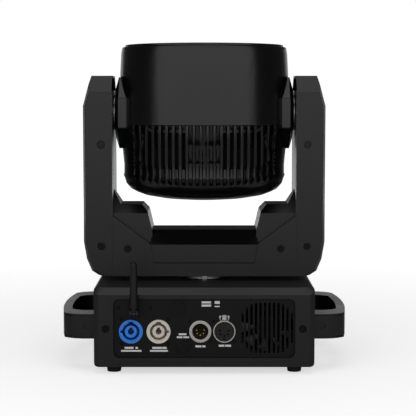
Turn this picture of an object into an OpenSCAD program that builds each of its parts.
// Moving head wash light: a base with its connector panel and two side handles, a yoke that pans
// on the base, and a drum-shaped head that tilts between the yoke's two arms.
// Lengths are in millimetres. The pan axis is Z and the feet stand on z = 0.
// The connector panel faces -Y, the display faces +Y and the tilt axis runs along X.

/* [Base] */
// Width of the base housing, without its handles
base_width = 237; // [231:1:243]
// Depth of the base housing
base_depth = 220; // [216:1:226]
// Height of the base housing above its feet
base_height = 85; // [84:0.5:90]
// Height of the rubber feet
foot_height = 8; // [6:1:10]
// Wall of the base housing, which is also the depth of the panel recess
base_wall = 4; // [3.5:0.5:4.5]
// Size of the 45 degree bevels along the front and rear of the base's top
base_bevel = 7; // [5:0.5:8]
// Radius of the silver pan hub
hub_radius = 27; // [25:0.5:31]
// How far each handle reaches out from the base
handle_reach = 41; // [38:1:46]
// Height of the handle's band
handle_height = 27; // [22:1:30]

/* [Rear panel] */
// Height of the four big connectors above the bottom of the base
connector_rise = 38; // [36:0.5:41]
// Number of slots in the fan grille
grille_slots = 12; // [8:2:12]
// Length of the antenna above its pivot
antenna_length = 55; // [40:1:55]

/* [Yoke] */
// Gap between the base and the yoke
pan_gap = 3.4; // [3:0.1:5]
// Height of the yoke arms
arm_height = 223.5; // [221:0.5:228]
// Depth of the yoke arms
arm_depth = 78; // [76:0.5:80]
// Inner face of each arm from the pan axis
arm_inner = 102.6; // [102:0.1:103]
// Width of each arm
arm_width = 32.6; // [32:0.1:36]
// Wall of the yoke covers
yoke_wall = 2.5; // [2:0.1:3]

/* [Head] */
// Height of the tilt axis above the bottom of the yoke
tilt_rise = 182.1; // [180:0.1:184]
// Number of vertical slots on each side of the head, an odd number
slot_count = 21; // [13:2:21]
// Distance between neighbouring slots
slot_pitch = 7.4; // [6.8:0.1:7.4]
// Width of each slot
slot_width = 4.4; // [3:0.1:4.6]

/* [Hidden] */
$fn = 96;
// Heights of the three assemblies
base_top = foot_height + base_height;
yoke_z = base_top + pan_gap;
tilt_z = yoke_z + tilt_rise;
// Cut of the base's four upright corners
corner_cut = 5.4;
// Outer faces of the rear and front panels
panel_y = base_depth / 2 - base_wall;
// Bevels along the arms' outer edges: strip off the front face and strip off the side
bevel_x = 3.3;
bevel_y = 9;
// Outer face of the arms
arm_outer = arm_inner + arm_width;
// Middle of the rear panel and of its fan grille
panel_rise = 41.7;
fan_x = 67.5;
fan_rise = 41.7;
// Handles: height of their underside above the bottom of the base, and bow of the outer face
handle_rise = 26;
handle_bow = 420;
// Positions of the rear panel's parts: X, then height above the bottom of the base
inlet_x = -78.5;
outlet_x = -48.9;
data_in_x = -4.2;
data_out_x = 21.5;
fuse_at = [-22.8, 22.5];
plug_at = [-28.6, 62.7];
antenna_at = [-74.6, 59.5];
antenna_pivot = 16;
// Positions of the front panel's parts
display_at = [26, 33];
knob_at = [-46, 33];
knob_length = 18;
// Belt drives: pulley radii and the places of the motors
pan_pulley_r = 36;
pan_motor_r = 9;
pan_motor_at = [-64, 18];
pan_belt_z = 58;
tilt_pulley_r = 18;
tilt_motor_r = 6;
tilt_motor_drop = 92;
tilt_belt_x = 121;
belt_gap = 0.3;
belt_t = 1.2;
// Outline of the head from the seam down, as radius and height above the tilt axis
lower_outline = [
    [95.5, -13], [92.4, -43], [91, -58], [91, -68], [91.9, -70], [90.6, -73], [88.8, -79],
    [86.3, -82], [82.9, -85.6], [76.5, -89], [67.4, -92.4], [50, -95.6], [28, -97.6]
];
// Outline of the head from the seam up
upper_outline = [[95.5, -12.7], [95, 44], [93.8, 66], [92.8, 72], [91.8, 73.3]];
// Outer outline of an arm in the X-Z plane, from the bottom up, grown inwards by an inset
function arm_edge(i) = [
    [arm_width - 17 - i, i], [arm_width - 9 - i, 5.1 + i], [arm_width - 3.3 - i, 18.7 + i / 2],
    [arm_width - i, 38], [arm_width - i, arm_height - 34 - i], [arm_width - 9 - i, arm_height - i]
];

// ---------------------------------------------------------------- helpers

// Rectangle with four round corners
module round_rect(w, h, r) {
    square([w - 2 * r, h], center = true);
    square([w, h - 2 * r], center = true);
    for (x = [-1, 1], y = [-1, 1])
        translate([x * (w / 2 - r), y * (h / 2 - r)])
            circle(r, $fn = 48);
}

// Rectangle with four cut corners
module cut_rect(w, h, c) {
    polygon([
        [w / 2 - c, -h / 2], [w / 2, c - h / 2], [w / 2, h / 2 - c], [w / 2 - c, h / 2],
        [c - w / 2, h / 2], [-w / 2, h / 2 - c], [-w / 2, c - h / 2], [c - w / 2, -h / 2]
    ]);
}

// Upright slot with round ends
module slot_2d(w, h) {
    square([w, h - w], center = true);
    for (y = [-1, 1])
        translate([0, y * (h - w) / 2])
            circle(w / 2, $fn = 24);
}

// Area inside a belt round two pulleys, the second at distance d along X
module belt_2d(r1, r2, d) {
    a = acos((r1 - r2) / d);
    polygon(concat(
        [for (i = [0 : 40]) r1 * [cos(a + (360 - 2 * a) * i / 40), sin(a + (360 - 2 * a) * i / 40)]],
        [for (i = [0 : 16]) [d, 0] + r2 * [cos(a * (i / 8 - 1)), sin(a * (i / 8 - 1))]]
    ));
}

// Ring along Z
module ring(r_out, r_in, h) {
    difference() {
        cylinder(r = r_out, h = h);
        translate([0, 0, -1])
            cylinder(r = r_in, h = h + 2);
    }
}

// Cross-recess screw: its head ends at z = 0 and its shank points down
module screw(head_r, head_h, shank_r, shank_l) {
    difference() {
        union() {
            translate([0, 0, -head_h])
                cylinder(r = head_r, h = head_h, $fn = 48);
            translate([0, 0, -head_h - shank_l])
                cylinder(r = shank_r, h = shank_l, $fn = 32);
        }
        for (a = [0, 90])
            rotate([0, 0, a])
                cube([head_r * 1.2, head_r * 0.28, head_h], center = true);
    }
}

// Places its children on the rear panel: their Z points out, their Y points up
module on_rear(p) {
    translate([p[0], -panel_y, foot_height + p[1]])
        rotate([90, 0, 0])
            children();
}

// Places its children on the front panel, seen from the front
module on_front(p) {
    translate([0, panel_y, foot_height])
        rotate([90, 0, 180])
            translate([p[0], p[1], 0])
                children();
}

// Turns a shape drawn along Z so that it runs along X, out of the arm on that side
module along_x(side) {
    rotate([0, 90 * side, 0])
        children();
}

// ---------------------------------------------------------------- base housing

// Solid block of the base, made smaller by an inset on every side and longer by a drop below
module base_block(inset, drop = 0) {
    w = base_width - 2 * inset;
    d = base_depth - 2 * inset;
    h = base_height - inset;
    b = base_bevel - inset * 0.8;
    side = 2 - inset * 0.3;
    foot = drop > 0 ? 0.2 : 3;
    intersection() {
        translate([0, 0, foot_height - drop])
            linear_extrude(h + drop)
                cut_rect(w, d, corner_cut);
        translate([0, 0, foot_height])
            rotate([90, 0, 0])
                linear_extrude(d, center = true)
                    polygon([
                        [foot - w / 2, -drop], [w / 2 - foot, -drop], [w / 2 - foot * 0.3, foot * 0.3],
                        [w / 2, foot], [w / 2, h - side], [w / 2 - side, h], [side - w / 2, h],
                        [-w / 2, h - side], [-w / 2, foot], [foot * 0.3 - w / 2, foot * 0.3]
                    ]);
        translate([0, 0, foot_height])
            rotate([90, 0, 90])
                linear_extrude(w, center = true)
                    polygon([
                        [-d / 2, -drop], [d / 2, -drop], [d / 2, h - b], [d / 2 - b, h],
                        [b - d / 2, h], [-d / 2, h - b]
                    ]);
    }
}

// Flat facets where each cut corner meets the bevel of the top
module corner_facets() {
    for (x = [0, 1], y = [0, 1])
        mirror([x, 0, 0])
            mirror([0, y, 0])
                translate([base_width / 2 - corner_cut, base_depth / 2, base_top - base_bevel])
                    rotate([0, 0, 69.4])
                        rotate([0, 34.3, 0])
                            translate([0, 0, 15])
                                cube([60, 60, 30], center = true);
}

// Screws through each end wall of the housing
base_screw_spots = [[-105.4, 41.4], [105.4, 41.4]];

// Moulded housing: top and four sides, open below
module base_shell() {
    color("#393939")
    difference() {
        union() {
            difference() {
                base_block(0);
                base_block(base_wall, 2);
                corner_facets();
            }
            for (p = base_screw_spots) {
                on_rear(p)
                    translate([0, 0, -10])
                        cylinder(r = 5.3, h = 11, $fn = 48);
                on_front(p)
                    translate([0, 0, -10])
                        cylinder(r = 5.3, h = 11, $fn = 48);
            }
        }
        // window of the rear panel
        on_rear([0, panel_rise])
            translate([0, 0, -1])
                linear_extrude(base_wall + 2)
                    round_rect(194.6, 64, 6.5);
        // window of the front panel
        on_front([0, 36])
            translate([0, 0, -1])
                linear_extrude(base_wall + 2)
                    round_rect(150, 50, 5.3);
        // hole and shallow seat of the pan hub
        translate([0, 0, base_top - 20])
            cylinder(r = hub_radius + 0.3, h = 40);
        translate([0, 0, base_top - 1.3])
            cylinder(r = 47, h = 10);
        // counterbores and pilot holes of the frame screws
        for (p = base_screw_spots) {
            on_rear(p)
                base_screw_hole();
            on_front(p)
                base_screw_hole();
        }
    }
}

module base_screw_hole() {
    translate([0, 0, base_wall - 2.6])
        cylinder(r = 4.45, h = 4, $fn = 48);
    translate([0, 0, -8])
        cylinder(r = 1.9, h = 20, $fn = 32);
}

// Steel bottom plate with the four sockets of the clamp brackets
bracket_x = 106;
bracket_y = 90;
module base_plate() {
    color("#2a2a2b")
    difference() {
        translate([0, 0, foot_height])
            linear_extrude(3)
                cut_rect(base_width - 2 * base_wall - 0.6, base_depth - 2 * base_wall - 0.6, 6);
        for (x = [-1, 1], y = [-1, 1])
            translate([x * bracket_x / 2, y * bracket_y / 2, foot_height - 1])
                cylinder(r = 4.5, h = 5, $fn = 48);
    }
}

module rubber_feet() {
    color("#161616")
    for (x = [-97.7, 97.7], y = [-90, 90])
        translate([x, y, 0])
            difference() {
                cylinder(r1 = 7.4, r2 = 8.4, h = foot_height, $fn = 48);
                translate([0, 0, -1])
                    cylinder(r = 3, h = foot_height - 2, $fn = 32);
            }
}

// ---------------------------------------------------------------- rear panel

// Length of the fan grille slot at a distance x from the middle of the grille
function grille_height(x) = 2 * min(27.4, sqrt(pow(31.2, 2) - pow(x, 2)));

module rear_panel() {
    color("#191919")
    difference() {
        on_rear([0, panel_rise])
            translate([0, 0, -2])
                linear_extrude(2)
                    round_rect(199, 68, 3);
        for (x = [inlet_x, outlet_x])
            on_rear([x, connector_rise])
                through(12);
        for (x = [data_in_x, data_out_x])
            on_rear([x, connector_rise])
                through(11);
        on_rear(fuse_at)
            through(7);
        on_rear(plug_at)
            through(6.1);
        on_rear(antenna_at)
            through(3.3);
        // way of the release tab
        on_rear([data_out_x, connector_rise])
            translate([0, 0, -3])
                linear_extrude(4)
                    tab_2d(0.35);
        for (p = small_screw_spots)
            on_rear(p)
                through(1.15);
        for (i = [0 : grille_slots - 1]) {
            x = (i - (grille_slots - 1) / 2) * 4.82;
            on_rear([fan_x + x, fan_rise])
                translate([0, 0, -3])
                    linear_extrude(4)
                        slot_2d(2.4, grille_height(x));
        }
    }
}

// Round hole through the panel
module through(r) {
    translate([0, 0, -3])
        cylinder(r = r, h = 4, $fn = 64);
}

// Flange screws of the connectors, and the panel's own two
small_screw_spots = [
    [inlet_x - 10.4, connector_rise + 13.6], [inlet_x - 10.4, connector_rise - 13.4],
    [outlet_x + 10.4, connector_rise + 13.6], [outlet_x + 10.4, connector_rise - 13.4],
    [data_in_x - 11, connector_rise + 11], [data_in_x + 10.6, connector_rise - 10.6],
    [data_out_x - 11.4, connector_rise + 11], [data_out_x + 10.6, connector_rise - 10.6],
    [-57.5, 63.5], [-92.2, 63.5]
];

module connector_screws() {
    color("#8c8c8c")
    for (p = small_screw_spots)
        on_rear(p)
            translate([0, 0, 1.1])
                screw(1.8, 1.1, 1.05, 6);
}

module base_screws() {
    color("#202022")
    for (p = base_screw_spots) {
        on_rear(p)
            translate([0, 0, base_wall - 0.6])
                screw(3.7, 2, 1.8, 6);
        on_front(p)
            translate([0, 0, base_wall - 0.6])
                screw(3.7, 2, 1.8, 6);
    }
}

// Round locking power connector: the key notch at the side tells the inlet from the outlet
module power_body(notch) {
    difference() {
        union() {
            cylinder(r = 12.85, h = 2.4);
            translate([0, 0, -24])
                cylinder(r = 11.9, h = 25);
        }
        // ring-shaped space that the plug's sleeve enters
        translate([0, 0, -15])
            ring(9.3, 6.5, 20);
        // keyways at the top and at one side
        translate([-2.5, 7, -15])
            cube([5, 3.6, 20]);
        rotate([0, 0, notch])
            translate([7, -1.3, -15])
                cube([4.2, 2.6, 20]);
        // keyed pocket of the three contacts
        translate([0, 0, -14])
            cylinder(r = 3.3, h = 20, $fn = 48);
        translate([-1.5, 0, -14])
            cube([3, 4.6, 20]);
    }
}

module power_inlet() {
    color("#3f8be0")
    on_rear([inlet_x, connector_rise])
        power_body(180);
}

module power_outlet() {
    color("#ded8cb")
    on_rear([outlet_x, connector_rise])
        power_body(0);
}

module power_contacts() {
    color("#b8923c")
    for (x = [inlet_x, outlet_x], a = [90, 210, 330])
        on_rear([x, connector_rise])
            rotate([0, 0, a])
                translate([1.1, -0.9, -14])
                    cube([0.8, 1.8, 5]);
}

// Angles of the five contacts of a data connector
contact_angles = [-90, -142, -38, -194, 14];

module data_inlet_shell() {
    color("#d6d2cb")
    on_rear([data_in_x, connector_rise])
        difference() {
            union() {
                cylinder(r = 11.9, h = 2.2);
                translate([0, 0, -18])
                    cylinder(r = 10.9, h = 19);
            }
            translate([0, 0, -15])
                cylinder(r = 8.7, h = 20);
            translate([0, 0, -19])
                cylinder(r = 7.5, h = 20);
        }
}

module data_inlet_insert() {
    color("#101010")
    on_rear([data_in_x, connector_rise])
        difference() {
            union() {
                translate([0, 0, -15])
                    cylinder(r = 8.65, h = 3);
                translate([0, 0, -21])
                    cylinder(r = 7.4, h = 7);
            }
            for (a = contact_angles)
                rotate([0, 0, a])
                    translate([4.3, 0, -22])
                        cylinder(r = 0.95, h = 12, $fn = 24);
        }
}

module data_inlet_pins() {
    color("#c99a3a")
    for (a = contact_angles)
        on_rear([data_in_x, connector_rise])
            rotate([0, 0, a])
                translate([4.3, 0, -24]) {
                    cylinder(r = 0.93, h = 22.2, $fn = 24);
                    translate([0, 0, 22.2])
                        sphere(r = 0.93, $fn = 24);
                }
}

// Thin ear of the shell with the rivet beside the release tab
module rivet_ear() {
    linear_extrude(1.4)
        polygon([[3.6, 11.2], [5.7, 14.9], [4.9, 15.6], [2.9, 11.3]]);
    translate([4.3, 16.2, 0])
        cylinder(r = 1.2, h = 1.8, $fn = 32);
}

module data_outlet_shell() {
    color("#d6d2cb")
    on_rear([data_out_x, connector_rise])
        difference() {
            union() {
                cylinder(r = 11.9, h = 2.2);
                translate([0, 0, -18])
                    cylinder(r = 10.9, h = 19);
                for (side = [0, 1])
                    mirror([side, 0, 0])
                        rivet_ear();
            }
            translate([0, 0, -15])
                cylinder(r = 9.9, h = 20);
            translate([0, 0, 0.6])
                cylinder(r = 10.8, h = 20);
            translate([0, 0, -19])
                cylinder(r = 7.5, h = 20);
        }
}

module data_outlet_insert() {
    color("#3a3a3c")
    on_rear([data_out_x, connector_rise])
        difference() {
            union() {
                translate([0, 0, -15])
                    cylinder(r = 8.7, h = 16.4);
                translate([0, 0, 0.65])
                    cylinder(r = 10.7, h = 0.4);
                translate([0, 0, -21])
                    cylinder(r = 7.4, h = 7);
            }
            for (a = contact_angles)
                rotate([0, 0, a])
                    translate([4.7, 0, -10])
                        cylinder(r = 1, h = 12, $fn = 24);
            translate([0, -8.6, -4])
                cylinder(r = 1.5, h = 10, $fn = 24);
        }
}

// Outline of the release tab, grown by g on each side
module tab_2d(g) {
    translate([0, 15.3])
        square([4.4 + 2 * g, 5.4 + 2 * g], center = true);
}

module data_release_tab() {
    color("#8d8472")
    on_rear([data_out_x, connector_rise])
        translate([0, 0, 0.4])
            difference() {
                linear_extrude(2)
                    tab_2d(0);
                for (y = [14 : 1.1 : 16.2])
                    translate([-1.6, y, 1.7])
                        cube([3.2, 0.5, 1]);
            }
}

module fuse_holder() {
    color("#1b1b1c")
    on_rear(fuse_at)
        difference() {
            union() {
                cylinder(r = 7.75, h = 2);
                translate([0, 0, -26])
                    cylinder(r = 6.95, h = 27);
            }
            translate([0, 0, -24])
                cylinder(r = 5.9, h = 40);
        }
}

module fuse_cap() {
    color("#232324")
    on_rear(fuse_at)
        difference() {
            translate([0, 0, -22])
                cylinder(r = 5.83, h = 25);
            translate([0, 0, 3])
                rotate([0, 0, 135])
                    cube([9, 1.3, 2.6], center = true);
        }
}

module blanking_plug() {
    color("#141414")
    on_rear(plug_at)
        difference() {
            union() {
                cylinder(r = 8.75, h = 2.4);
                translate([0, 0, -6])
                    cylinder(r = 6, h = 7);
            }
            translate([0, 0, 1])
                difference() {
                    ring(7.4, 2.2, 2);
                    for (a = [90, 210, 330])
                        rotate([0, 0, a])
                            translate([0, -0.8, -1])
                                cube([9, 1.6, 4]);
                }
        }
}

// ---------------------------------------------------------------- antenna

module antenna_connector() {
    color("#9a8f6a")
    on_rear(antenna_at) {
        cylinder(r = 5.2, h = 2.4, $fn = 6);
        translate([0, 0, -9])
            cylinder(r = 3.2, h = 15.4, $fn = 48);
    }
}

// Swivelling elbow: a sleeve over the connector and a fork that holds the rod
module antenna_knuckle() {
    color("#19191a")
    on_rear(antenna_at) {
        difference() {
            translate([0, 0, 2.8])
                cylinder(r = 5.2, h = 8.2, $fn = 48);
            cylinder(r = 3.27, h = 6.8, $fn = 48);
        }
        for (s = [-1, 1])
            translate([s * 3.5, 0, 0]) {
                translate([-1.15, -4.8, 8])
                    cube([2.3, 9.6, antenna_pivot - 8]);
                translate([-1.15, 0, antenna_pivot])
                    rotate([0, 90, 0])
                        cylinder(r = 4.8, h = 2.3, $fn = 48);
            }
        translate([-4, 0, antenna_pivot])
            rotate([0, 90, 0])
                cylinder(r = 1.25, h = 8, $fn = 24);
    }
}

module antenna_whip() {
    color("#1c1c1d")
    on_rear(antenna_at)
        translate([0, 0, antenna_pivot]) {
            difference() {
                union() {
                    translate([-2.1, 0, 0])
                        rotate([0, 90, 0])
                            cylinder(r = 4.4, h = 4.2, $fn = 48);
                    translate([-2.1, 0, -3.2])
                        cube([4.2, 6, 6.4]);
                }
                translate([-3, 0, 0])
                    rotate([0, 90, 0])
                        cylinder(r = 1.31, h = 6, $fn = 24);
            }
            translate([0, 5.4, 0])
                rotate([-90, 0, 0]) {
                    cylinder(r = 4.5, h = 8, $fn = 48);
                    translate([0, 0, 8])
                        cylinder(r1 = 4.3, r2 = 3.5, h = antenna_length - 16, $fn = 48);
                    translate([0, 0, antenna_length - 8])
                        sphere(r = 3.5, $fn = 48);
                }
        }
}

// ---------------------------------------------------------------- fans

// Square fan housing along Z, its back spider at the bottom
module fan_frame(size, depth, bore, corner) {
    difference() {
        linear_extrude(depth)
            round_rect(size, size, corner);
        translate([0, 0, 2])
            cylinder(r = bore, h = depth);
        translate([0, 0, -1])
            difference() {
                cylinder(r = bore, h = 4);
                cylinder(r = size * 0.2, h = 9, center = true);
                for (a = [0 : 90 : 270])
                    rotate([0, 0, a + 20])
                        translate([0, -1.5, -2])
                            cube([size, 3, 9]);
            }
        for (x = [-1, 1], y = [-1, 1])
            translate([x * (size - 6 - corner) / 2, y * (size - 6 - corner) / 2, -1])
                cylinder(r = 2.15, h = depth + 2, $fn = 32);
        translate([0, 0, -1])
            cylinder(r = 1.6, h = 4, $fn = 32);
    }
}

// Fan rotor along Z with nine flat blades and its own short shaft
module fan_rotor(hub_r, tip_r, depth) {
    cylinder(r = hub_r, h = depth);
    translate([0, 0, -1.6])
        cylinder(r = 1.53, h = 2.6, $fn = 32);
    for (a = [0 : 40 : 320])
        rotate([0, 0, a])
            intersection() {
                translate([hub_r - 1, 0, depth / 2])
                    rotate([35, 0, 0])
                        translate([0, -0.8, -depth * 0.55])
                            cube([tip_r, 1.6, depth * 1.1]);
                cylinder(r = tip_r, h = depth);
            }
}

module base_fan_frame() {
    color("#121212")
    on_rear([fan_x, fan_rise])
        translate([0, 0, -17.4])
            fan_frame(60, 15, 28.4, 4);
}

module base_fan_rotor() {
    color("#1a1a1a")
    on_rear([fan_x, fan_rise])
        translate([0, 0, -15])
            fan_rotor(12, 27.6, 11);
}

// ---------------------------------------------------------------- handles

// Plan of the right handle, shrunk by an inset on its outer side
module handle_plan(inset, half_length) {
    intersection() {
        translate([base_width / 2 + handle_reach - handle_bow, 0])
            circle(handle_bow - inset, $fn = 240);
        translate([base_width / 2, 0])
            round_rect(2 * (handle_reach - inset), 2 * half_length, 30 - inset);
    }
}

module handle() {
    translate([0, 0, foot_height + handle_rise])
        difference() {
            linear_extrude(handle_height)
                difference() {
                    handle_plan(0, 84);
                    handle_plan(10, 56);
                    translate([0, -100])
                        square([base_width / 2, 200]);
                }
            // grooves that set off the two rims
            for (z = [1.2, handle_height - 2.6])
                translate([0, 0, z])
                    linear_extrude(1.4)
                        difference() {
                            translate([base_width / 2, 0])
                                square([4 * handle_reach, 200], center = true);
                            handle_plan(1.6, 82.4);
                        }
            // grip grooves round the outer face
            for (y = [-42 : 6 : 42])
                translate([base_width / 2 + handle_reach - handle_bow, 0, 4.6])
                    rotate([0, 0, asin(y / handle_bow)])
                        translate([handle_bow, 0, 0])
                            cylinder(r = 1, h = handle_height - 9.2, $fn = 24);
            // screw pits in the two end faces
            for (y = [-84, 84])
                translate([base_width / 2 + 9.5, y, handle_height / 2 + 1])
                    rotate([90, 0, 0])
                        cylinder(r = 4, h = 5, center = true, $fn = 48);
        }
}

module right_handle() {
    color("#2c2c2e")
    handle();
}

module left_handle() {
    color("#2c2c2e")
    mirror([1, 0, 0])
        handle();
}

// ---------------------------------------------------------------- front panel

module front_panel() {
    color("#191919")
    difference() {
        on_front([0, 36])
            translate([0, 0, -2])
                linear_extrude(2)
                    round_rect(158, 58, 3);
        on_front(display_at)
            translate([0, 0, -3])
                linear_extrude(4)
                    round_rect(64.4, 36.4, 2);
        on_front(knob_at)
            through(3.2);
    }
}

module display_window() {
    color("#0b0f14")
    on_front(display_at)
        translate([0, 0, -2])
            linear_extrude(2.3)
                round_rect(64, 36, 1.8);
}

module menu_knob() {
    color("#202021")
    on_front(knob_at)
        difference() {
            union() {
                translate([0, 0, 0.5])
                    cylinder(r = 11, h = knob_length);
                translate([0, 0, -6])
                    cylinder(r = 3.14, h = 7, $fn = 48);
            }
            for (a = [0 : 20 : 340])
                rotate([0, 0, a])
                    translate([11.2, 0, 3])
                        cylinder(r = 0.9, h = knob_length, $fn = 24);
            translate([0, 7.5, knob_length - 0.1])
                cylinder(r = 1, h = 2, $fn = 24);
        }
}

// ---------------------------------------------------------------- parts inside the base

module control_board() {
    color("#1f5a36")
    on_front([0, 34]) {
        translate([-72, -24, -8.6])
            cube([144, 48, 1.6]);
        // display module
        translate([display_at[0] - 33, -19, -7])
            cube([66, 38, 4.9]);
        // connectors and chips on the inner side
        for (x = [-60, -34, -8, 44])
            translate([x, 4, -14.6])
                cube([14, 9, 6]);
        for (x = [-50, 0, 26])
            translate([x, -16, -11])
                cube([13, 13, 2.4]);
    }
}

module power_supply() {
    color("#a9abad")
    difference() {
        translate([14, -58, foot_height + 5])
            cube([88, 132, 34]);
        for (i = [0 : 10])
            translate([24 + i * 6.4, -40, foot_height + 37])
                cube([3, 96, 5]);
    }
}

module pan_motor() {
    color("#3a3a3c")
    translate([pan_motor_at[0], pan_motor_at[1], 0]) {
        translate([0, 0, pan_belt_z - 36])
            linear_extrude(34)
                cut_rect(42.3, 42.3, 4);
        translate([0, 0, pan_belt_z - 2])
            cylinder(r = 11, h = 1.5);
        translate([0, 0, pan_belt_z - 1])
            cylinder(r = 2.5, h = 12, $fn = 32);
    }
}

// Belt pulley with two flanges
module pulley(r, bore, h) {
    difference() {
        union() {
            cylinder(r = r, h = h);
            cylinder(r = r + 1.4, h = 1);
            translate([0, 0, h - 1])
                cylinder(r = r + 1.4, h = 1);
        }
        translate([0, 0, -1])
            cylinder(r = bore, h = h + 2, $fn = 64);
    }
}

module pan_motor_pulley() {
    color("#b9bbbd")
    translate([pan_motor_at[0], pan_motor_at[1], pan_belt_z])
        pulley(pan_motor_r, 2.56, 10);
}

// Loop of belt drawn along X from the larger pulley
module belt(r1, r2, d, width) {
    linear_extrude(width)
        difference() {
            belt_2d(r1 + belt_gap + belt_t, r2 + belt_gap + belt_t, d);
            belt_2d(r1 + belt_gap, r2 + belt_gap, d);
        }
}

module pan_belt() {
    color("#151515")
    translate([0, 0, pan_belt_z + 1.4])
        rotate([0, 0, atan2(pan_motor_at[1], pan_motor_at[0])])
            belt(pan_pulley_r, pan_motor_r, norm(pan_motor_at), 7.2);
}

// Machined hub that carries the pan shaft
module pan_housing() {
    color("#c9cacc")
    difference() {
        union() {
            translate([0, 0, base_top - base_wall - 6.3])
                cylinder(r = hub_radius + 10, h = 6);
            translate([0, 0, base_top - base_wall - 6])
                cylinder(r = hub_radius, h = base_wall + 4.7);
            translate([0, 0, base_top - 1.4])
                cylinder(r1 = hub_radius, r2 = hub_radius - 1.2, h = pan_gap + 0.8);
            translate([0, 0, pan_belt_z + 12])
                cylinder(r = 20, h = base_top - pan_belt_z - 16);
        }
        translate([0, 0, pan_belt_z])
            cylinder(r = 14.05, h = 60);
    }
}

// Zinc index block in front of the hub
module hub_block() {
    color("#7d858d")
    translate([0.3, -hub_radius - 3, base_top - 1.3])
        linear_extrude(pan_gap + 0.6)
            round_rect(6.8, 5, 1);
}

// ---------------------------------------------------------------- pan shaft, on the yoke

module pan_shaft() {
    color("#8d8f92")
    difference() {
        union() {
            translate([0, 0, pan_belt_z - 4])
                cylinder(r = 14, h = yoke_z - pan_belt_z + 5);
            translate([0, 0, yoke_z + 0.3])
                cylinder(r = 23, h = yoke_wall + 0.2);
        }
        translate([0, 0, pan_belt_z - 5])
            cylinder(r = 10, h = 60);
    }
}

module pan_pulley() {
    color("#b9bbbd")
    translate([0, 0, pan_belt_z]) {
        pulley(pan_pulley_r, 14.05, 10);
        translate([0, 0, 10])
            ring(18, 14.05, 1.6);
    }
}

// ---------------------------------------------------------------- yoke

// Sheet frame: a bottom plate and one upright plate in each arm
module yoke_frame() {
    color("#77797c")
    translate([0, 0, yoke_z + yoke_wall + 0.6])
        difference() {
            union() {
                translate([-arm_inner - 2, -32, 0])
                    cube([2 * arm_inner + 4, 64, 3]);
                for (s = [-1, 1])
                    translate([s * (arm_inner + 1) - 1, -32, 0])
                        cube([2, 64, tilt_rise + 22]);
            }
            translate([0, 0, -1])
                cylinder(r = 10, h = 5);
            for (s = [-1, 1]) {
                translate([s * (arm_inner - 2), 0, tilt_rise - yoke_wall - 0.6])
                    along_x(s)
                        cylinder(r = 16.05, h = 6);
                translate([s * (arm_inner - 2), 0, 14])
                    along_x(s)
                        cylinder(r = 8, h = 6);
            }
        }
}

// Bevel cutter along one stretch of an arm's outer edge, from p to q in the X-Z plane: it takes a
// narrow strip off the front and a wide strip off the side
module edge_cutter(p, q) {
    v = q - p;
    translate([p[0], 0, p[1]])
        rotate([0, atan2(v[0], v[1]), 0])
            translate([0, 0, -15])
                linear_extrude(norm(v) + 30)
                    polygon([[-1.5 * bevel_x, bevel_y / 2], [bevel_x / 2, -1.5 * bevel_y], [20, bevel_y]]);
}

// Front-to-back section of an arm, with its two bevels at the top
module arm_section(i) {
    half = arm_depth / 2 - i;
    polygon([
        [-half, i], [half, i], [half, arm_height - 18.2 - i * 0.4], [half - 18.2 + i * 0.6, arm_height - i],
        [18.2 - i * 0.6 - half, arm_height - i], [-half, arm_height - 18.2 - i * 0.4]
    ]);
}

// Solid arm of the right side, measured from its inner face
module arm_block() {
    edge = arm_edge(0);
    difference() {
        intersection() {
            rotate([90, 0, 0])
                linear_extrude(arm_depth, center = true)
                    polygon(concat([[0, arm_height], [0, 0]], edge));
            rotate([90, 0, 90])
                linear_extrude(arm_width)
                    arm_section(0);
        }
        for (i = [0 : len(edge) - 2], s = [0, 1])
            mirror([0, s, 0])
                translate([0, arm_depth / 2, 0])
                    edge_cutter(edge[i], edge[i + 1]);
    }
}

// Space inside an arm
module arm_hollow() {
    w = yoke_wall;
    intersection() {
        rotate([90, 0, 0])
            linear_extrude(arm_depth, center = true)
                polygon(concat([[-1, arm_height - w], [-1, w]], arm_edge(w * 1.25)));
        translate([-1, 0, 0])
            rotate([90, 0, 90])
                linear_extrude(arm_width)
                    arm_section(w);
        linear_extrude(arm_height)
            cut_rect(2 * (arm_width - w - 0.2), arm_depth - 2 * w - 0.2, 4.5);
    }
}

// Screws of one arm, as X and height above the yoke's bottom, and of the bridge
arm_screws = [[12, 147], [12, 33.4]];
bridge_screws = [[-85.4, 31], [85.4, 31]];

// Boss for a cover screw, and the hole in it; Y is the cover's outer face
module screw_boss(y) {
    translate([0, y, 0])
        rotate([90, 0, 0])
            translate([0, 0, -12])
                cylinder(r = 6, h = 10.5, $fn = 48);
}

module screw_pit(y) {
    translate([0, y, 0])
        rotate([90, 0, 0]) {
            translate([0, 0, -3])
                cylinder(r = 4.3, h = 6, $fn = 48);
            translate([0, 0, -11])
                cylinder(r = 1.7, h = 12, $fn = 32);
        }
}

// Arm cover of the right side, open towards the head
module arm_cover() {
    difference() {
        union() {
            difference() {
                arm_block();
                arm_hollow();
            }
            for (p = arm_screws, s = [0, 180])
                translate([p[0], 0, p[1]])
                    rotate([0, 0, s])
                        screw_boss(-arm_depth / 2);
        }
        for (p = arm_screws, s = [0, 180])
            translate([p[0], 0, p[1]])
                rotate([0, 0, s])
                    screw_pit(-arm_depth / 2);
    }
}

module right_arm_cover() {
    color("#3a3a3b")
    translate([arm_inner, 0, yoke_z])
        arm_cover();
}

module left_arm_cover() {
    color("#3a3a3b")
    mirror([1, 0, 0])
        translate([arm_inner, 0, yoke_z])
            arm_cover();
}

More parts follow.
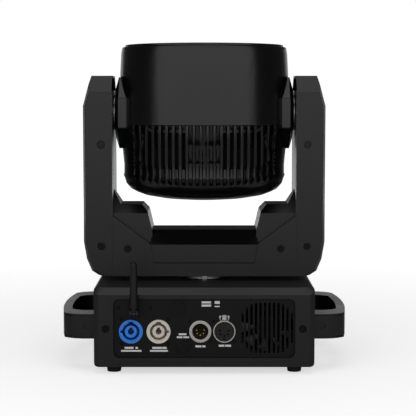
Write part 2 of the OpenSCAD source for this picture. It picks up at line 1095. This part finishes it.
// Solid bridge half towards -Y: the deep lower slab and the two set-back gussets
module bridge_half(inset) {
    half = arm_depth / 2 + 1;
    i = inset;
    // lower slab with its sloping shoulder
    difference() {
        translate([0, -half + i, i])
            rotate([90, 0, 0])
                mirror([0, 0, 1])
                    linear_extrude(half - i + (i > 0 ? 1 : 0))
                        polygon([
                            [-arm_inner, 0], [arm_inner, 0], [arm_inner, 67.8 - 2 * i],
                            [60, 36.6 - 2 * i], [58.5 - i, 51.1 - 2 * i], [i - 58.5, 51.1 - 2 * i],
                            [-60, 36.6 - 2 * i], [-arm_inner, 67.8 - 2 * i]
                        ]);
        // slope above the rear face in the middle
        translate([0, -half + i, 35.4])
            rotate([45, 0, 0])
                translate([-61, -1, 0])
                    cube([122, 60, 60]);
    }
    // gussets beside the arms
    for (s = [0, 1])
        mirror([s, 0, 0])
            intersection() {
                translate([0, 8 - half + i, i])
                    rotate([90, 0, 0])
                        mirror([0, 0, 1])
                            linear_extrude(half - 8 - i + (i > 0 ? 1 : 0))
                                polygon([
                                    [56 + i, 20], [58.5 + i, 51.1 - 2 * i], [63.4 + i, 72.1 - 2 * i],
                                    [70 + i, 79.6 - 2 * i], [94, 79.6 - 2 * i],
                                    [arm_inner, 95.1 - 2 * i], [arm_inner, 20]
                                ]);
                translate([0, 0, 0])
                    rotate([90, 0, 90])
                        linear_extrude(arm_inner)
                            polygon([
                                [8 - half + i, 0], [2, 0], [2, 120], [38 - half, 101 - 1.4 * i],
                                [8 - half + i, 70 - i * 0.4]
                            ]);
            }
}

// Cover of the bridge, on the -Y side
module bridge_cover() {
    half = arm_depth / 2 + 1;
    difference() {
        union() {
            difference() {
                bridge_half(0);
                bridge_half(yoke_wall);
            }
            for (p = bridge_screws)
                translate([p[0], 0, p[1]])
                    screw_boss(-half);
        }
        for (p = bridge_screws)
            translate([p[0], 0, p[1]])
                screw_pit(-half);
        translate([0, 0, -1])
            cylinder(r = 23.4, h = yoke_wall + 2);
    }
}

// Outline of the moulded field in the middle of the bridge, as a groove open at the top
module field_2d() {
    polygon([
        [-60, 34], [-56.8, 14.6], [56.8, 14.6], [60, 34], [59.2, 34],
        [56.1, 15.4], [-56.1, 15.4], [-59.2, 34]
    ]);
}

module bridge_rear_cover() {
    color("#3b3b3c")
    translate([0, 0, yoke_z])
        difference() {
            bridge_cover();
            translate([0, 0.6 - arm_depth / 2 - 1, 0])
                rotate([90, 0, 0])
                    linear_extrude(2)
                        field_2d();
        }
}

module bridge_front_cover() {
    color("#3b3b3c")
    translate([0, 0, yoke_z])
        rotate([0, 0, 180])
            bridge_cover();
}

module yoke_screws() {
    color("#202022")
    for (s = [0, 180])
        rotate([0, 0, s])
            translate([0, 0, yoke_z]) {
                for (x = [-1, 1], p = arm_screws)
                    translate([x * (arm_inner + p[0]), -arm_depth / 2 + 1, p[1]])
                        rotate([90, 0, 0])
                            screw(3.5, 2, 1.6, 7);
                for (p = bridge_screws)
                    translate([p[0], -arm_depth / 2, p[1]])
                        rotate([90, 0, 0])
                            screw(3.5, 2, 1.6, 7);
            }
}

// Bearings of the tilt shafts, in the frame's upright plates
module tilt_bearings() {
    color("#9a9c9f")
    for (s = [-1, 1])
        translate([s * arm_inner, 0, tilt_z])
            along_x(s)
                difference() {
                    union() {
                        cylinder(r = 16, h = 7);
                        translate([0, 0, 2.05])
                            cylinder(r = 19, h = 2);
                    }
                    translate([0, 0, -1])
                        cylinder(r = 10.06, h = 9);
                }
}

module tilt_motor() {
    color("#3a3a3c")
    translate([0, 0, tilt_z - tilt_motor_drop]) {
        translate([arm_inner + 2.1, 0, 0])
            rotate([0, 90, 0])
                linear_extrude(15)
                    cut_rect(42.3, 42.3, 4);
        translate([tilt_belt_x - 2, 0, 0])
            rotate([0, 90, 0])
                cylinder(r = 8, h = 1.5);
        translate([tilt_belt_x - 1, 0, 0])
            rotate([0, 90, 0])
                cylinder(r = 2, h = 7.4, $fn = 32);
    }
}

module tilt_motor_pulley() {
    color("#b9bbbd")
    translate([tilt_belt_x, 0, tilt_z - tilt_motor_drop])
        rotate([0, 90, 0])
            pulley(tilt_motor_r, 2.06, 5.6);
}

module tilt_belt() {
    color("#151515")
    translate([tilt_belt_x + 1.3, 0, tilt_z])
        rotate([0, 90, 0])
            belt(tilt_pulley_r, tilt_motor_r, tilt_motor_drop, 3);
}

// ---------------------------------------------------------------- head

// Solid of revolution below the seam, made smaller by an inset
module lower_body(inset) {
    translate([0, 0, tilt_z])
        rotate_extrude()
            polygon(concat(
                [[0, inset - 98], [0, inset > 0 ? -12 : -13]],
                inset > 0 ? [[lower_outline[0][0] - inset, -12]] : [],
                [for (p = lower_outline) [p[0] - inset, p[1] + (p[1] < -75 ? inset * 0.9 : 0)]]
            ));
}

// Octagonal space of the tilt bosses, on both sides
module boss_space(r, from) {
    for (s = [-1, 1])
        translate([s * from, 0, tilt_z])
            along_x(s)
                rotate([0, 0, 22.5])
                    cylinder(r = r, h = 40, $fn = 8);
}

// One vertical slot of the head, cut from the outside only
module head_slot(x) {
    low = -78.3 + 5.9 * pow(x / 77, 2);
    translate([x, 0, tilt_z])
        rotate([90, 0, 0]) {
            translate([-slot_width / 2, low + slot_width / 2, 40])
                cube([slot_width, 80, 70]);
            translate([0, low + slot_width / 2, 40])
                cylinder(r = slot_width / 2, h = 70, $fn = 32);
        }
}

// Lower shell: closed bottom, a field of blind slots front and rear, two open windows in each
module head_lower_shell() {
    color("#333334")
    difference() {
        lower_body(0);
        lower_body(5.6);
        difference() {
            for (side = [0, 180])
                rotate([0, 0, side])
                    for (i = [0 : slot_count - 1])
                        head_slot((i - (slot_count - 1) / 2) * slot_pitch);
            lower_body(2.8);
        }
        intersection() {
            for (x = [-42, 42])
                translate([x, 0, tilt_z - 40.3])
                    cube([46.6, 200, 39.5], center = true);
            lower_body(2.79);
        }
        boss_space(43.6, 60);
    }
}

// Solid of revolution above the seam
module upper_body(inset) {
    translate([0, 0, tilt_z])
        rotate_extrude()
            polygon(concat(
                [[0, inset > 0 ? 80 : 73.3], [0, inset > 0 ? -20 : -12.7]],
                inset > 0 ? [[upper_outline[0][0] - inset, -20]] : [],
                [for (p = upper_outline) [p[0] - inset, p[1]]],
                inset > 0 ? [[88.9, 73.3], [88.9, 80]] : []
            ));
}

module head_upper_shell() {
    color("#3a3a3b")
    difference() {
        upper_body(0);
        upper_body(2.9);
        boss_space(43.6, 60);
    }
}

// Ring round the light opening
module front_bezel() {
    color("#2a2a2b")
    translate([0, 0, tilt_z])
        difference() {
            union() {
                translate([0, 0, 73.4])
                    cylinder(r = 89.3, h = 1.8);
                translate([0, 0, 75.2])
                    cylinder(r1 = 89.3, r2 = 88.8, h = 0.5);
                translate([0, 0, 64])
                    cylinder(r = 88.8, h = 10);
            }
            translate([0, 0, 63])
                cylinder(r = 84, h = 7);
            translate([0, 0, 60])
                cylinder(r = 80, h = 20);
            translate([0, 0, 73.7])
                cylinder(r1 = 80, r2 = 83, h = 2.1);
        }
}

module front_lens() {
    color("#cfd8dd")
    translate([0, 0, tilt_z + 67])
        cylinder(r = 83.8, h = 3);
}

// Positions of the nineteen light sources: one, a ring of six and a ring of twelve
source_spots = concat(
    [[0, 0]],
    [for (a = [0 : 60 : 300]) [33 * cos(a), 33 * sin(a)]],
    [for (a = [15 : 30 : 345]) [64 * cos(a), 64 * sin(a)]]
);

// Moulded lens block over the light sources, one cup per source on a common plate
module led_lenses() {
    color("#dfe6ea")
    translate([0, 0, tilt_z + 35.6])
        difference() {
            union() {
                for (p = source_spots)
                    translate([p[0], p[1], 0])
                        cylinder(r1 = 6, r2 = 15, h = 20, $fn = 48);
                translate([0, 0, 18])
                    cylinder(r = 81, h = 2.5);
            }
            for (p = source_spots)
                translate([p[0], p[1], -1])
                    cylinder(r = 3.4, h = 5, $fn = 32);
        }
}

module led_board() {
    color("#e8e8e4")
    translate([0, 0, tilt_z + 33]) {
        cylinder(r = 82, h = 1.6);
        for (p = source_spots)
            translate([p[0] - 2, p[1] - 2, 1.5])
                cube([4, 4, 1.2]);
    }
}

module heat_sink() {
    color("#26272a")
    translate([0, 0, tilt_z]) {
        translate([0, 0, 25])
            cylinder(r = 79, h = 8);
        intersection() {
            cylinder(r = 76, h = 120, center = true);
            for (y = [-66 : 6 : 66])
                translate([-80, y - 0.9, -36])
                    cube([160, 1.8, 62]);
        }
    }
}

// Chassis: a ring round the heat sink with a plate down to each tilt boss
module head_chassis() {
    color("#5b5d60")
    translate([0, 0, tilt_z])
        difference() {
            union() {
                translate([0, 0, 25])
                    ring(91.4, 79.2, 4);
                for (s = [-1, 1])
                    translate([s * 81.6 - 1.5, -24, -34])
                        cube([3, 48, 60]);
            }
            rotate([0, 90, 0])
                cylinder(r = 10.06, h = 200, center = true);
            translate([0, 0, -tilt_z])
                boss_space(43.5, 83.15);
        }
}

// Octagonal boss at each end of the tilt axis, with sloping sides
module tilt_bosses() {
    color("#242425")
    for (s = [-1, 1])
        translate([s * 83.2, 0, tilt_z])
            along_x(s)
                difference() {
                    rotate([0, 0, 22.5])
                        cylinder(r = 43.2, h = 17, $fn = 8);
                    for (a = [0 : 45 : 315])
                        rotate([0, 0, a])
                            translate([25, 0, 17])
                                rotate([0, 17.1, 0])
                                    translate([-10, -40, 0])
                                        cube([60, 80, 40]);
                    translate([0, 0, -1])
                        cylinder(r = 10.06, h = 30);
                }
}

// Hollow shafts of the tilt axis, each with a collar against its boss
module tilt_shafts() {
    color("#8d8f92")
    for (s = [-1, 1])
        translate([s * 79, 0, tilt_z])
            along_x(s)
                difference() {
                    union() {
                        cylinder(r = 10, h = s > 0 ? 49.5 : 31);
                        translate([0, 0, 21.3])
                            cylinder(r = 20, h = 1.6);
                    }
                    translate([0, 0, -1])
                        cylinder(r = 7, h = 60);
                }
}

module tilt_pulley() {
    color("#b9bbbd")
    translate([tilt_belt_x, 0, tilt_z])
        rotate([0, 90, 0])
            pulley(tilt_pulley_r, 10.05, 5.6);
}

module head_fan_frame() {
    color("#121212")
    translate([0, 0, tilt_z - 62])
        fan_frame(128, 25, 57, 14);
}

module head_fan_rotor() {
    color("#1a1a1a")
    translate([0, 0, tilt_z - 59.4])
        fan_rotor(22, 55.6, 20);
}

// ---------------------------------------------------------------- nodes

// Sub-part to draw, or all of them

base_shell();
base_plate();
rubber_feet();
rear_panel();
connector_screws();
base_screws();
power_inlet();
power_outlet();
power_contacts();
data_inlet_shell();
data_inlet_insert();
data_inlet_pins();
data_outlet_shell();
data_outlet_insert();
data_release_tab();
fuse_holder();
fuse_cap();
blanking_plug();
antenna_connector();
antenna_knuckle();
antenna_whip();
base_fan_frame();
base_fan_rotor();
left_handle();
right_handle();
front_panel();
display_window();
menu_knob();
control_board();
power_supply();
pan_motor();
pan_motor_pulley();
pan_belt();
pan_housing();
hub_block();
pan_shaft();
pan_pulley();
yoke_frame();
left_arm_cover();
right_arm_cover();
bridge_rear_cover();
bridge_front_cover();
yoke_screws();
tilt_bearings();
tilt_motor();
tilt_motor_pulley();
tilt_belt();
head_lower_shell();
head_upper_shell();
front_bezel();
front_lens();
led_lenses();
led_board();
heat_sink();
head_chassis();
tilt_bosses();
tilt_shafts();
tilt_pulley();
head_fan_frame();
head_fan_rotor();
